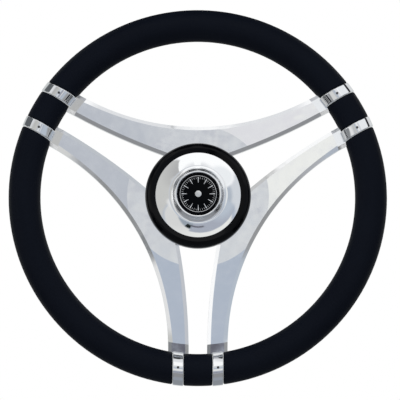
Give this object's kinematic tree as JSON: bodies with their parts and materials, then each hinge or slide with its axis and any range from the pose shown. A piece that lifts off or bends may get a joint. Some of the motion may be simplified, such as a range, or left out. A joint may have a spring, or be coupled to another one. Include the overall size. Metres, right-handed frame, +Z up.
{
  "type": "boat steering wheel",
  "caption": "Boat steering wheel: polished stainless spoke frame in a soft black rim with chromed bands, a keyed taper hub and a chromed centre cap.",
  "frame": {"origin": "on the wheel's axis at the rear face of the hub, where the shaft taper enters", "axes": "+Y along the shaft, out of the hub's rear mouth; the wheel's face looks along -Y; +Z up through the keyway, opposite the bottom pair of arms"},
  "size_m": [0.35, 0.0576, 0.35],
  "materials": {
    "polished_steel": "polished",
    "bar_steel": "satin",
    "grip_skin": "satin",
    "band_chrome": "polished",
    "hub_aluminium": "satin",
    "screw_steel": "satin",
    "bezel_black": "gloss",
    "cap_chrome": "polished",
    "badge_black": "gloss"
  },
  "bodies": {
    "root": {"spoke_frame": "polished_steel", "rim_core_ring": "bar_steel", "rim_grip_upper": "grip_skin", "rim_grip_lower_left": "grip_skin", "rim_grip_lower_right": "grip_skin", "rim_grip_short_left": "grip_skin", "rim_grip_short_right": "grip_skin", "rim_grip_short_bottom": "grip_skin", "rim_band_left_upper": "band_chrome", "rim_band_left_lower": "band_chrome", "rim_band_right_upper": "band_chrome", "rim_band_right_lower": "band_chrome", "rim_band_bottom_left": "band_chrome", "rim_band_bottom_right": "band_chrome", "hub_boss": "hub_aluminium", "hub_flange": "hub_aluminium", "hub_screws": "screw_steel", "bezel_screws": "screw_steel", "hub_bezel": "bezel_black", "cap_shell": "cap_chrome", "badge_disc": "badge_black"}
  },
  "joints": []
}
